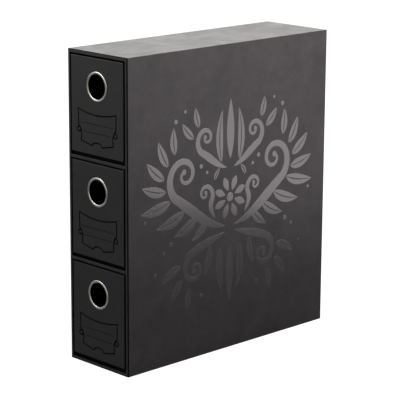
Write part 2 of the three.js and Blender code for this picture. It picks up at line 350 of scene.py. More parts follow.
# Plated pressed steel: warm, a little cloudy, with a fine drawn grain
def platedSteel(name, values):
    finish = Finish(name)
    grain = finish.noise(values["grainScale"], detail=3.0, stretch=(1.0, 0.25, 1.0))
    clouds = finish.noise(values["cloudScale"], detail=2.0)
    factor = finish.ramp(clouds, 0.0, values["tarnishShare"])
    metal = finish.blendColour(factor, values["colour"], values["tarnish"])
    # painted shade: the bore's inside is made near black
    finish.put("Base Color", finish.blendColour(finish.attribute("lines_and_painted_shade"), metal, values["boreShadeColour"]))
    finish.put("Metallic", 1.0)
    finish.put("Roughness", finish.ramp(grain, values["roughLow"], values["roughHigh"]))
    finish.put("Normal", finish.bump(grain, values["grainHeight"]))
    return finish.material


# Spot gloss: a clear hard film over the black paper, with a slight orange peel
def glossFilm(name, values):
    finish = Finish(name)
    waves = finish.noise(values["waveScale"], detail=2.0)
    finish.put("Base Color", (*values["colour"], 1))
    finish.put("Roughness", finish.ramp(waves, values["roughLow"], values["roughHigh"]))
    finish.put("IOR", values["ior"])
    finish.put("Normal", finish.bump(waves, values["waveHeight"]))
    return finish.material


coverFinish = coverPaper("matte_cover_paper", paperSet)
frontFinish = coverPaper("matte_front_paper", frontPaperSet)
boardFinish = fibreBoard("casing_board", boardSet)
trayFinish = fibreBoard("tray_board", trayBoardSet)
ringFinish = platedSteel("plated_steel", ringSet)
filmFinish = glossFilm("gloss_film", filmSet)
print("materials made")

# Casing

casingSet = {
    "cornerRadius": 0.35 * mm,
    "liningRadius": 0.15 * mm,
    "paper": 0.2 * mm,
    "sideInset": 0.06 * mm,
    "boardBevel": 0.35 * mm,
    "backBend": 0.15 * mm,
    "backSupport": 0.4 * mm,
    # painted shade on the front fold's bend and on the lining, and how far behind the fold it reaches
    "foldShadeShare": 1.0,
    "foldShadeReach": 0.9 * mm,
    "liningShadeShare": 1.0,
}
# Degrees under which faces count as one flat face, and over which an edge is eased
easeSet = {"flatAngle": 1, "cornerAngle": 40, "segments": 2}


# A folded sheet seen from its end, as (depth into the wall, y): out along one face of the wall, round
# its front edge in two quarter bends, back along the other face, and home along the sheet's inside
def foldProfile(wall, paper, bend, frontY, firstEnd, secondEnd, steps=6, support=0.3 * mm):
    arc = np.linspace(0, np.pi / 2, steps + 1)
    # supporting points where the painted shade behind the front fold ends
    mark = casingSet["foldShadeReach"]

    # both skins of the sheet: the outer one has the bend's radius, the inner one is smaller by the paper
    def skin(radius):
        first = np.stack([bend - radius * np.cos(arc), frontY + bend - radius * np.sin(arc)], 1)
        second = np.stack([wall - bend + radius * np.sin(arc), frontY + bend - radius * np.cos(arc)], 1)
        return np.vstack([
            [(bend - radius, firstEnd)],
            first[:1] + (0, mark + support / 2), first[:1] + (0, mark), first, first[-1:] + (support, 0),
            second[:1] - (support, 0), second, second[-1:] + (0, support),
            [(wall - bend + radius, secondEnd)],
        ])

    return np.vstack([skin(bend), skin(bend - paper)[::-1]])


# The sheet round the casing's four walls: each point of the fold's profile runs round a rounded
# rectangle that is smaller by the point's depth. The top and base are thicker, by a little extra depth.
def casingSleeve():
    low, high = lowHigh("right_cover")
    baseLow, baseHigh = lowHigh("base_cover")
    wall, endWall = high[0] - low[0], baseHigh[2] - baseLow[2]
    halfWidth = high[0] - casingSet["sideInset"]
    halfHeight = (high[2] - low[2]) / 2
    backEnd = lowHigh("back_board")[0][1] - glueLine
    profile = foldProfile(wall, casingSet["paper"], casingSet["cornerRadius"], low[1], high[1], backEnd)
    depth = profile[:, 0]
    radii = np.maximum(casingSet["cornerRadius"] - depth, casingSet["liningRadius"])
    extra = (endWall - wall) * (depth > wall / 2)
    loops = roundedLoops(halfWidth, halfHeight, np.stack([depth, depth + extra], 1), radii)
    y = np.broadcast_to(profile[:, 1][:, None], loops.shape[:2])
    points = np.stack([loops[..., 0], y, loops[..., 1] + halfHeight], -1)
    quads = gridQuads(*points.shape[:2], wrapRows=True, wrapColumns=True)
    replaced = ["left_cover", "right_cover", "top_cover", "base_cover"]
    piece = makePiece("casing_sleeve", [(points, quads)], "casing", coverFinish, replaced)
    bend = casingSet["cornerRadius"]

    # painted shade on and just behind the front fold's outer bend, and along the whole lining from its inner
    # bend, which is made near black
    def rule(spots):
        inward = np.minimum(halfWidth - np.abs(spots[:, 0]), halfHeight - np.abs(spots[:, 2] - halfHeight))
        back = spots[:, 1] - low[1]
        fold = (inward < bend + hair) & (back < bend + casingSet["foldShadeReach"] + hair)
        lining = (inward > wall / 2) & (back > hair)
        return fold * casingSet["foldShadeShare"] + lining * casingSet["liningShadeShare"]

    return markLinesAndShade(piece, rule)


# A shelf's sheet: the fold's profile carried straight across between the side walls
def shelfSleeve(level):
    node = f"{level}_shelf_cover"
    low, high = lowHigh(node)
    bend = casingSet["cornerRadius"]
    profile = foldProfile(high[2] - low[2], casingSet["paper"], bend, low[1], high[1], high[1])
    x = high[0] - casingSet["sideInset"]
    count = len(profile)
    depth, y = profile.T
    points = np.stack([np.stack([np.full(count, side * x), y, low[2] + depth], 1) for side in (-1, 1)])
    quads = gridQuads(2, count, wrapColumns=True)
    ends = [np.arange(count), np.arange(count) + count]
    surfaces = [(points, [*quads, *ends])]
    piece = makePiece(f"{level}_shelf_sleeve", surfaces, "casing", coverFinish, [node])
    # painted shade: the sheet is made near black behind its front bend, along the shelf's lining
    behind = low[1] + bend / 2
    return markLinesAndShade(piece, lambda spots: (spots[:, 1] > behind) * casingSet["liningShadeShare"])


# The back sheet: rounded rectangles stepped backwards, with a small bend at the rear edge
def backSheet():
    low, high = lowHigh("back_cover")
    bend, thickness = casingSet["backBend"], high[1] - low[1]
    arc = np.linspace(0, np.pi / 2, 5)
    insets = np.concatenate([[0, 0], bend * (1 - np.cos(arc)), [bend + casingSet["backSupport"]]])
    turned = thickness - bend * (1 - np.sin(arc))
    depths = np.concatenate([[0, thickness - bend - tiny], turned, [thickness]])
    halfWidth = high[0] - casingSet["sideInset"]
    halfHeight = (high[2] - low[2]) / 2
    loops = roundedLoops(halfWidth, halfHeight, insets, casingSet["cornerRadius"] - insets.clip(max=bend))
    y = np.broadcast_to((low[1] + depths)[:, None], loops.shape[:2])
    points = np.stack([loops[..., 0], y, loops[..., 1] + halfHeight], -1)
    rows, columns = points.shape[:2]
    quads = gridQuads(rows, columns, wrapColumns=True)
    ends = [np.arange(columns), np.arange(columns) + (rows - 1) * columns]
    surfaces = [(points, [*quads, *ends])]
    return makePiece("back_sheet", surfaces, "casing", coverFinish, ["back_cover"])


# A board of the imported model with its cut edges eased: a merged copy with a small bevel.
# Its faces at the very front get painted shade: they are made near black, so that the gap under each drawer
# front reads dark.
def easedBoard(node, body, material, width):
    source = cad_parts[node]
    mesh = source.data.copy()
    mesh.name = f"{node}_eased"
    work = bmesh.new()
    work.from_mesh(mesh)
    bmesh.ops.remove_doubles(work, verts=work.verts, dist=tiny)
    flat = math.radians(easeSet["flatAngle"])
    bmesh.ops.dissolve_limit(work, angle_limit=flat, verts=work.verts, edges=work.edges)
    work.to_mesh(mesh)
    work.free()
    mesh.materials.clear()
    mesh.materials.append(material)
    mesh.polygons.foreach_set("use_smooth", np.zeros(len(mesh.polygons), bool))
    centres = np.zeros(len(mesh.polygons) * 3, np.float32)
    mesh.polygons.foreach_get("center", centres)
    lines_and_painted_shade = mesh.attributes.new("lines_and_painted_shade", "FLOAT", "FACE")
    foremost = centres[1::3] < lowHigh(node)[0][1] + hair
    lines_and_painted_shade.data.foreach_set("value", foremost.astype(np.float32))
    piece = bpy.data.objects.new(f"{node}_eased", mesh)
    bpy.context.scene.collection.objects.link(piece)
    bevel = piece.modifiers.new("eased edges", "BEVEL")
    bevel.width = width
    bevel.segments = easeSet["segments"]
    bevel.limit_method = "ANGLE"
    bevel.angle_limit = math.radians(easeSet["cornerAngle"])
    return finishPiece(piece, body, [node])


casingSleeve()
for level in ("lower", "upper"):
    shelfSleeve(level)
    easedBoard(f"{level}_shelf_board", "casing", boardFinish, casingSet["boardBevel"])
backSheet()
for part in ("left", "right", "base", "top", "back"):
    easedBoard(f"{part}_board", "casing", boardFinish, casingSet["boardBevel"])
print("casing made")

# Drawers

frontSet = {
    "edgeRadius": 0.8 * mm,
    "rearRadius": 0.3 * mm,
    "arcSteps": 6,
    "gridStep": 0.25 * mm,
    "denseHalfWidth": 29 * mm,
    "sideColumns": (33.5 * mm, 31.2 * mm, 29.8 * mm),
    "lowRows": (2.4 * mm, 4.8 * mm),
    "upperRows": 3,
    "blockRows": 25,
    "highRows": (2 * mm, 5 * mm),
    "support": 0.3 * mm,
    "margin": 1 * mm,
    "blockHalf": 17 * mm,
    "raySteps": 4,
    "holeRadius": 12.65 * mm,
    # a painted shadow on the panel round the ring's flange: its outer radius, the width of its fade and its
    # darkness
    "ringShadowRadius": 14.7 * mm,
    "ringShadowReach": 0.3 * mm,
    "ringShadowShare": 0.9,
    # painted shade on the panel's edges that face the gap round it
    "rimShadeShare": 1.0,
    "faceDepth": 0.15 * mm,
    "sideDepth": 0.4 * mm,
}
labelSet = {
    "halfWidth": 26.5 * mm,
    "topDrop": 49.6 * mm,
    "height": 33 * mm,
    "lineHalf": 0.48 * mm,
    "lineDepth": 0.35 * mm,
    "ruleHalf": 0.25 * mm,
    "ruleDepth": 0.16 * mm,
    "ruleShare": 0.7,
    "shoulder": 0.28 * mm,
    "darkReach": 0.12 * mm,
    "loopRadius": 2.3 * mm,
    "margin": 3 * mm,
}
# Shares of the label's half width across, and of its height downwards from its top corners
labelShares = {
    "sagBend": 0.234,
    "sideEnd": (0.985, 0.46),
    "shoulderBend": (0.86, 0.53),
    "shoulderEnd": (0.825, 0.67),
    "foot": (0.842, 0.905),
    "notchStart": (0.275, 1.0),
    "notchEdge": (0.235, 0.98),
    "notchRise": 0.085,
    "loop": (0.962, 0.588),
    "rules": ((0.84, 0.386), (0.71, 0.635)),
}


# A quadratic curve from start to end, bent towards a third point
def quadratic(start, bend, end, steps):
    t = np.linspace(0, 1, steps)[:, None]
    return (1 - t) ** 2 * np.array(start) + 2 * t * (1 - t) * np.array(bend) + t ** 2 * np.array(end)


# The label's centre lines as (points, half width, depth, dark share), across and down from the middle
# of its top: a sagging top line, bent shoulders, a foot up to a notch of half an ellipse, a round loop
# at each shoulder and two straight rules
def labelStrokes():
    values, shares = labelSet, labelShares
    size = np.array([values["halfWidth"], -values["height"]])
    sag = quadratic((-1, 0), (0, shares["sagBend"]), (1, 0), 40)
    shoulder = quadratic(shares["sideEnd"], shares["shoulderBend"], shares["shoulderEnd"], 16)
    notch = np.linspace(0, np.pi / 2, 14)[:, None]
    edgeAcross, edgeDown = shares["notchEdge"]
    arch = np.hstack([edgeAcross * np.cos(notch), edgeDown - shares["notchRise"] * np.sin(notch)])
    right = np.vstack([shoulder, [shares["foot"], shares["notchStart"]], arch])
    left = (right[:-1] * (-1, 1))[::-1]
    outline = np.vstack([sag, right, left, sag[:1]])
    turn = np.linspace(0, 2 * np.pi, 33)
    circle = values["loopRadius"] * np.stack([np.cos(turn), np.sin(turn)], 1)
    loopAcross, loopDown = shares["loop"]
    lines = [outline * size] + [circle + np.array([side * loopAcross, loopDown]) * size for side in (-1, 1)]
    strokes = [(line, values["lineHalf"], values["lineDepth"], 1) for line in lines]
    for across, down in shares["rules"]:
        rule = np.array([(-across, down), (across, down)]) * size
        strokes.append((rule, values["ruleHalf"], values["ruleDepth"], values["ruleShare"]))
    return strokes


# Distance of each point to a line of segments: the nearest point of each segment, then the least
def strokeDistance(points, line):
    start, run = line[:-1], np.diff(line, axis=0)
    offset = points[:, None, :] - start[None]
    share = np.einsum("ijk,jk->ij", offset, run) / np.einsum("jk,jk->j", run, run)
    gap = offset - share.clip(0, 1)[..., None] * run[None]
    return np.sqrt(np.einsum("ijk,ijk->ij", gap, gap).min(axis=1))


# How deep the label is pressed at each point, and how dark it is there. The depth eases from full to
# none over the shoulder, which lies half inside and half outside a line's half width. The dark share
# is full to a little beyond that, and fades out over the dark reach.
def pressedDepth(points):
    depth, share = np.zeros((2, len(points)))
    shoulder, margin = labelSet["shoulder"], labelSet["margin"]
    inside = (np.abs(points[:, 0]) < labelSet["halfWidth"] + margin) & (points[:, 1] < margin)
    inside &= points[:, 1] > -labelSet["height"] - margin
    near = points[inside]
    for line, half, full, strength in labelStrokes():
        distance = strokeDistance(near, line)
        t = ((half + shoulder / 2 - distance) / shoulder).clip(0, 1)
        depth[inside] = np.maximum(depth[inside], full * t ** 2 * (3 - 2 * t))
        dark = ((half + shoulder - distance) / labelSet["darkReach"]).clip(0, 1)
        share[inside] = np.maximum(share[inside], strength * dark)
    return depth, share


# Columns and rows of a front's face: dense over the label, even in the block round the ring, few
# elsewhere, and with a supporting line just inside each edge
def frontGrid(low, high, ringZ, labelTop):
    values = frontSet
    edge, support, margin, block = (values[key] for key in ("edgeRadius", "support", "margin", "blockHalf"))
    reach, step = values["denseHalfWidth"], values["gridStep"]
    halfWidth = high[0] - edge
    outer = np.array([halfWidth, halfWidth - support, *values["sideColumns"]])
    x = np.concatenate([-outer, np.arange(-reach, reach + step / 2, step), outer[::-1]])
    z = np.concatenate([
        low[2] + edge + np.array([0, support, *values["lowRows"]]),
        np.arange(labelTop - labelSet["height"] - margin, labelTop + margin, step),
        np.linspace(labelTop + 2 * margin, ringZ - block - margin, values["upperRows"]),
        np.linspace(ringZ - block, ringZ + block, values["blockRows"]),
        ringZ + block + np.array(values["highRows"]),
        [high[2] - edge - support, high[2] - edge],
    ])
    return x, z


# The four sides of a grid's border as (x, z) points, in turn round it from its lower left corner
def borderRuns(x, z):
    return [
        np.stack([x, np.full(len(x), z[0])], 1),
        np.stack([np.full(len(z), x[-1]), z], 1),
        np.stack([x[::-1], np.full(len(x), z[-1])], 1),
        np.stack([np.full(len(z), x[0]), z[::-1]], 1),
    ]


# Rays from the square block round the finger hole straight in to just outside the painted shadow round the
# ring's flange, and from there in circles to the hole's edge
def ringRays(x, z, ringZ, frontY):
    values = frontSet
    block, ringShadow, reach = (values[key] for key in ("blockHalf", "ringShadowRadius", "ringShadowReach"))
    across = x[np.abs(x) < block + tiny]
    up = z[np.abs(z - ringZ) < block + tiny] - ringZ
    square = np.vstack([run[:-1] for run in borderRuns(across, up)])
    aim = square / np.linalg.norm(square, axis=1)[:, None]
    share = np.linspace(0, 1, values["raySteps"])[:, None, None]
    circles = np.array([ringShadow, ringShadow - reach, ringShadow - 2 * reach, values["holeRadius"]])[:, None, None]
    rays = np.vstack([square * (1 - share) + aim * (ringShadow + reach) * share, aim * circles])
    return np.stack([rays[..., 0], np.full(rays.shape[:2], frontY), rays[..., 1] + ringZ], -1)


# The face's border carried outwards and back: a quarter bend at the front, a smaller one at the rear,
# and at each corner a fan of directions round the same point
def frontRim(x, z, frontY, backY):
    values = frontSet
    edge, rear = values["edgeRadius"], values["rearRadius"]
    bend = np.linspace(0, np.pi / 2, values["arcSteps"] + 1)
    fan = bend[1:-1]
    runs = list(zip(borderRuns(x, z), np.arange(-1, 3) * np.pi / 2))
    border = np.vstack([np.vstack([run, np.repeat(run[-1:], len(fan), axis=0)]) for run, _ in runs])
    angle = np.concatenate([np.concatenate([np.full(len(run), turn), turn + fan]) for run, turn in runs])
    outward = np.stack([np.cos(angle), np.sin(angle)], 1)
    offset = np.concatenate([edge * np.sin(bend), edge - rear * (1 - np.cos(bend))])
    y = np.concatenate([frontY + edge * (1 - np.cos(bend)), backY - rear + rear * np.sin(bend)])
    rim = border[None] + offset[:, None, None] * outward[None]
    return np.stack([rim[..., 0], np.broadcast_to(y[:, None], rim.shape[:2]), rim[..., 1]], -1)


# A drawer front: its flat face with the label pressed in, the rays round the finger hole, the rim
# round its border, the hole's wall, and the rear face filled between the rim and the hole
def drawerFront(drawer):
    node = f"{drawer}_drawer_front"
    low, high = lowHigh(node)
    values = frontSet
    frontY, backY = low[1], high[1]
    ringZ = np.mean([corner[2] for corner in lowHigh(f"{drawer}_finger_ring")])
    labelTop = high[2] - labelSet["topDrop"]
    x, z = frontGrid(low, high, ringZ, labelTop)
    gridX, gridZ = (grid.ravel() for grid in np.meshgrid(x, z))
    depth = pressedDepth(np.stack([gridX, gridZ - labelTop], 1))[0]
    face = np.stack([gridX, frontY + depth, gridZ], 1)
    quads = gridQuads(len(z), len(x))
    middle = face[quads].mean(axis=1)
    block = values["blockHalf"]
    outside = (np.abs(middle[:, 0]) > block) | (np.abs(middle[:, 2] - ringZ) > block)
    rays = ringRays(x, z, ringZ, frontY)
    rim = frontRim(x, z, frontY, backY)
    wall = np.stack([rays[-1], rays[-1] + (0, backY - frontY, 0)])
    loops = [rim[-1], wall[-1][::-1]]
    fill = tessellate_polygon([[tuple(point) for point in loop] for loop in loops])
    surfaces = [(face, quads[outside])]
    surfaces += [(points, gridQuads(*points.shape[:2], wrapColumns=True)) for points in (rays, rim, wall)]
    surfaces.append((np.vstack(loops), [list(triangle) for triangle in fill]))
    body = f"{drawer}_drawer"
    piece = makePiece(f"{drawer}_front_panel", surfaces, body, frontFinish, [node])

    # darker in the label's lines; a painted shadow on the panel round the ring; and painted shade on the
    # edges that face the gap round the panel, from a small depth behind its face
    def rule(spots):
        share = pressedDepth(np.stack([spots[:, 0], spots[:, 2] - labelTop], 1))[1]
        radius = np.hypot(spots[:, 0], spots[:, 2] - ringZ)
        ringShadow = ((values["ringShadowRadius"] - radius) / values["ringShadowReach"]).clip(0, 1)
        share = np.maximum(share, values["ringShadowShare"] * ringShadow)
        within = np.abs(spots[:, 0]) < x[-1]
        inner = within & (spots[:, 2] > z[0]) & (spots[:, 2] < z[-1])
        plain = np.where(within, values["faceDepth"], values["sideDepth"])
        return np.where(~inner & (spots[:, 1] > frontY + plain), values["rimShadeShare"], share)

    return markLinesAndShade(piece, rule)


ringShape = {
    "boreRadius": 11.9 * mm,
    "barrelRadius": 12.5 * mm,
    "flangeRadius": 14.1 * mm,
    "domeHeight": 0.42 * mm,
    "rimHeight": 0.08 * mm,
    "lipRadius": 13.5 * mm,
    "lipThickness": 0.5 * mm,
    "mouthEase": 0.3 * mm,
    "shadeReach": 0.02 * mm,
    "domeSteps": 25,
    "lipSteps": 9,
    "mouthSteps": 6,
    "sides": 128,
    "crispAngle": 40,
}
washerShape = {"ease": 0.2 * mm, "steps": 5, "sides": 96}
traySet = {"boardBevel": 0.2 * mm}


# A profile of (radius, y) points turned about the Y axis through (0, z)
def turnedAboutY(profile, z, sides):
    turn = np.linspace(0, 2 * np.pi, sides, endpoint=False)
    radius, y = profile[:, 0][:, None], profile[:, 1][:, None]
    points = np.stack([radius * np.cos(turn), y + 0 * turn, z + radius * np.sin(turn)], -1)
    return points, gridQuads(len(profile), sides, wrapRows=True, wrapColumns=True)


# Finger ring: half an ellipse from the bore to the flange's edge, a short rim, the barrel through both
# boards, the half round lip that is rolled over the washer, and a quarter bend back into the bore
def fingerRing(drawer):
    node = f"{drawer}_finger_ring"
    low, high = lowHigh(node)
    values = ringShape
    bore, flange, barrel = values["boreRadius"], values["flangeRadius"], values["barrelRadius"]
    z = (low[2] + high[2]) / 2
    seat, back = low[1] + values["domeHeight"] + values["rimHeight"], high[1]
    front = back - values["lipThickness"]
    half = (flange - bore) / 2
    swing = np.linspace(np.pi, 0, values["domeSteps"])
    dome = np.stack([bore + half * (1 + np.cos(swing)),
                     seat - values["rimHeight"] - values["domeHeight"] * np.sin(swing)], 1)
    curl = np.linspace(-np.pi / 2, np.pi / 2, values["lipSteps"])
    lipHalf = values["lipThickness"] / 2
    lip = np.stack([values["lipRadius"] - lipHalf + lipHalf * np.cos(curl),
                    (front + back) / 2 + lipHalf * np.sin(curl)], 1)
    ease = values["mouthEase"]
    throat = np.linspace(0, np.pi / 2, values["mouthSteps"])
    mouth = np.stack([bore + ease * (1 - np.sin(throat)), back - ease * (1 - np.cos(throat))], 1)
    profile = np.vstack([dome, [(flange, seat), (barrel, seat), (barrel, front)], lip, mouth])
    surface = turnedAboutY(profile, z, values["sides"])
    piece = makePiece(f"{drawer}_eyelet", [surface], f"{drawer}_drawer", ringFinish, [node],
                      values["crispAngle"])
    inside, behind = bore + values["shadeReach"], seat - values["rimHeight"] - hair

    # painted shade inside the barrel, behind the flange's dome: the bore is made near black
    def rule(spots):
        radius = np.hypot(spots[:, 0], spots[:, 2] - z)
        return ((radius < inside) & (spots[:, 1] > behind)).astype(float)

    return markLinesAndShade(piece, rule)


# Washer: a flat ring with a quarter bend at each of its profile's four corners
def ringWasher(drawer):
    node = f"{drawer}_ring_washer"
    low, high = lowHigh(node)
    z = (low[2] + high[2]) / 2
    inner, outer, ease = frontSet["holeRadius"], high[0], washerShape["ease"]
    bend = np.linspace(0, np.pi / 2, washerShape["steps"])
    centres = [(outer - ease, high[1] - ease), (inner + ease, high[1] - ease),
               (inner + ease, low[1] + ease), (outer - ease, low[1] + ease)]
    profile = np.vstack([
        np.array(centre) + ease * np.stack([np.cos(bend + k * np.pi / 2), np.sin(bend + k * np.pi / 2)], 1)
        for k, centre in enumerate(centres)
    ])
    surface = turnedAboutY(profile, z, washerShape["sides"])
    return makePiece(f"{drawer}_washer", [surface], f"{drawer}_drawer", ringFinish, [node])


for drawer in drawerNames:
    drawerFront(drawer)
    fingerRing(drawer)
    ringWasher(drawer)
    for part in ("base", "left_side", "right_side", "front", "back"):
        node = f"{drawer}_tray_{part}"
        easedBoard(node, f"{drawer}_drawer", trayFinish, traySet["boardBevel"])
    print("drawer made:", drawer)

# Ornament on the right side

# The vein's width, a petal's length and half width, and the rosette's middle, the start of its petals
# and its eye's radius are in millimetres, as the rows below are
ornamentSet = {
    "centre": (-0.5 * mm, 148.2 * mm),
    "leafFilm": 0.022 * mm,
    "vineFilm": 0.027 * mm,
    "dotFilm": 0.032 * mm,
    "edgeEase": 0.12 * mm,
    "leastHalf": 0.01 * mm,
    "sunk": 0.03 * mm,
    "crispAngle": 3,
    "vein": 0.55,
    "curlDot": 1.9,
    "petals": 8,
    "petal": (15.5, 3.7),
    "rosette": (0, 4, 6.5, 4.4),
}
# Shares of a leaf's or vine's length and width, and the powers that round its outline
leafShares = {
    "belly": 0.42,
    "axisBelly": 0.45,
    "petalBelly": 0.55,
    "power": 0.85,
    "veinMost": 0.35,
    "veinLean": 0.8,
    "veinPower": 0.4,
}
vineShares = {
    "curlEnd": 0.16,
    "swell": 0.3,
    "swellPower": 0.7,
    "taperPower": 1.1,
    "roundEnd": 0.012,
}
# The right half in millimetres from the ornament's middle, which the left half mirrors.
# Leaves: foot across and up, heading, length, half width, bend
leafRows = [
    (79, 12, -24, 38, 5.6, 26), (85, 22, 2, 31, 5.2, 26), (87, 34, 28, 29, 5.0, 26),
    (82, 46, 52, 28, 4.8, 24), (73, 56, 76, 26, 4.4, 20), (31, -14, -58, 26, 4.6, 34),
    (45, -8, -46, 33, 5.2, 36), (61, 0, -36, 38, 5.6, 34), (66, -54, -14, 27, 4.6, -26),
    (64, -68, -42, 24, 4.4, -26), (53, -78, -68, 21, 4.0, -24), (49, 68, 34, 22, 4.0, 26),
    (42, 78, 66, 20, 3.8, 20), (12, 40, 76, 52, 4.6, 30), (13, -44, -80, 46, 4.6, -28),
    (27, -40, -92, 30, 4.0, 30), (21, 24, 108, 13, 2.4, 30),
]
# Vines: foot, heading, centre of the curl, where the curl starts, its radius and turns, reach of the stem,
# half width and half width at the end
vineRows = [
    ((6, -24), 8, (60, 34), -58, 24, 1.35, 26, 5.4, 1.5),
    ((7, -30), -18, (46, -60), 62, 17, -1.3, 16, 4.2, 1.3),
    ((5, 34), 14, (32, 66), -62, 14.5, 1.25, 13, 3.8, 1.2),
    ((20, -14), 60, (34, 12), -150, 11.5, -1.2, 9, 3.0, 1.1),
]
dotRows = [(72, 87, 2.2), (60, 95, 1.5), (104, 3, 2.2), (111, -3, 1.5), (78, -30, 2.4), (87, -37, 1.7),
           (39, 40, 2.2), (31, 33, 1.6), (38, -88, 2.2), (98, -56, 1.8)]
axisLeaves = [(0, 42, 90, 59, 5.0, 0), (0, -44, -90, 57, 5.0, 0)]


# Unit vectors across a path: its heading at each point, turned by a quarter
def acrossPath(path):
    heading = np.gradient(path, axis=0)
    heading /= np.linalg.norm(heading, axis=1)[:, None]
    return np.stack([-heading[:, 1], heading[:, 0]], 1)


# A leaf's spine turns evenly from its heading through its bend. Its half width is a sine of a power of
# the share of its length, which puts the widest place at the belly's share.
def leafBand(row, steps=36, belly=leafShares["belly"]):
    x, z, degrees, length, fullHalf, bend = row
    share = np.linspace(0, 1, steps)
    direction = np.radians(degrees + bend * share)
    run = np.stack([np.cos(direction), np.sin(direction)], 1) * length / (steps - 1)
    rise = np.sin(np.pi * share ** (math.log(0.5) / math.log(belly)))
    return np.array([x, z]) + np.cumsum(run, axis=0) - run[0], fullHalf * rise.clip(0) ** leafShares["power"]


# A leaf in two halves with a bare vein between them: the gap follows a raised cosine along the leaf,
# opened quickly by a power, and each half's middle line lies off the spine by what the gap leaves
def veinedLeaf(row):
    path, half = leafBand(row)
    across = acrossPath(path)
    share = np.linspace(0, 1, len(path)) ** leafShares["veinLean"]
    opening = (0.5 - 0.5 * np.cos(2 * np.pi * share)) ** leafShares["veinPower"]
    gap = np.minimum(ornamentSet["vein"], half * leafShares["veinMost"]) * opening
    shift, width = (half + gap) / 2, (half - gap) / 2
    return [(path + side * shift[:, None] * across, width) for side in (-1, 1)]


# A vine: a cubic curve from its foot to where the curl starts, then a spiral whose radius shrinks by
# the same share on each step. Its half width swells quickly, tapers slowly and ends round.
def vineBand(row, stemSteps=44, curlSteps=110):
    foot, degrees, centre, startDegrees, radius, turns, reach, fullHalf, endHalf = row
    t = np.linspace(0, 1, curlSteps)
    angle = math.radians(startDegrees) + 2 * np.pi * turns * t
    radii = (radius * vineShares["curlEnd"] ** t)[:, None]
    curl = np.array(centre) + radii * np.stack([np.cos(angle), np.sin(angle)], 1)
    tangent = math.copysign(1, turns) * np.array([-np.sin(angle[0]), np.cos(angle[0])])
    heading = np.array([math.cos(math.radians(degrees)), math.sin(math.radians(degrees))])
    corners = [np.array(foot), np.array(foot) + reach * heading, curl[0] - reach * tangent, curl[0]]
    s = np.linspace(0, 1, stemSteps)[:-1, None]
    weights = [(1 - s) ** 3, 3 * s * (1 - s) ** 2, 3 * s ** 2 * (1 - s), s ** 3]
    path = np.vstack([sum(weight * corner for weight, corner in zip(weights, corners)), curl])
    gone = np.concatenate([[0], np.cumsum(np.linalg.norm(np.diff(path, axis=0), axis=1))])
    share, full = gone / gone[-1], vineShares["swell"]
    swell = np.sin(np.pi / 2 * (share / full).clip(0, 1)) ** vineShares["swellPower"]
    left = 1 - ((share - full) / (1 - full)).clip(0, 1)
    taper = endHalf + (fullHalf - endHalf) * left ** vineShares["taperPower"]
    end = np.sqrt(1 - (1 - ((1 - share) / vineShares["roundEnd"]).clip(0, 1)) ** 2)
    return path, swell * taper * end


# A round dot, as a short band whose half width is that of a circle
def dotBand(centre, radius, steps=21):
    angle = np.linspace(np.pi, 0, steps)
    return np.stack([centre[0] + radius * np.cos(angle), centre[1] + 0 * angle], 1), radius * np.sin(angle)


# All bands as (path, half width, film height). Vines lie a little over leaves, and dots over vines.
def ornamentBands():
    leafFilm, vineFilm, dotFilm = (ornamentSet[key] for key in ("leafFilm", "vineFilm", "dotFilm"))
    half = [(*band, leafFilm) for row in leafRows for band in veinedLeaf(row)]
    for row in vineRows:
        path, width = vineBand(row)
        half += [(path, width, vineFilm), (*dotBand(path[-1], row[-1] * ornamentSet["curlDot"]), dotFilm)]
    half += [(*dotBand((x, z), radius), dotFilm) for x, z, radius in dotRows]
    bands = [(path * (side, 1), width, film) for path, width, film in half for side in (-1, 1)]
    bands += [(*leafBand(row, belly=leafShares["axisBelly"]), leafFilm) for row in axisLeaves]
    x, z, inner, eye = ornamentSet["rosette"]
    for k in range(ornamentSet["petals"]):
        degrees = 360 / ornamentSet["petals"] * (k + 0.5)
        foot = (x + inner * math.cos(math.radians(degrees)), z + inner * math.sin(math.radians(degrees)))
        petal = leafBand((*foot, degrees, *ornamentSet["petal"], 0), belly=leafShares["petalBelly"])
        bands.append((*petal, leafFilm))
    return bands + [(*dotBand((x, z), eye), dotFilm)]


# The film of a band: across the path lie its edge, an eased shoulder, a flat top, a second shoulder and
# edge, and a flat underside a little below the paper's face
def sideOrnament():
    ground = lowHigh("right_cover")[1][0] - casingSet["sideInset"]
    bottom = -ornamentSet["sunk"]
    surfaces = []
    for path, half, film in ornamentBands():
        heights = np.array([0, film, film, 0, bottom, bottom])
        path, half = path * mm, np.maximum(half * mm, ornamentSet["leastHalf"])
        ease = np.minimum(ornamentSet["edgeEase"], half / 2)
        offsets = np.stack([-half, ease - half, half - ease, half, half, -half], 1)
        across = acrossPath(path)[:, None, :]
        spots = np.array(ornamentSet["centre"]) + path[:, None, :] + offsets[..., None] * across
        outwards = ground + np.broadcast_to(heights, offsets.shape)
        points = np.stack([outwards, spots[..., 0], spots[..., 1]], -1)
        rows, columns = offsets.shape
        ends = [np.arange(columns), np.arange(columns) + (rows - 1) * columns]
        surfaces.append((points, [*gridQuads(rows, columns, wrapColumns=True), *ends]))
    crispAngle = ornamentSet["crispAngle"]
    return makePiece("gloss_ornament", surfaces, "casing", filmFinish, crispAngle=crispAngle)


sideOrnament()
print("ornament made")

# Floor, light and camera

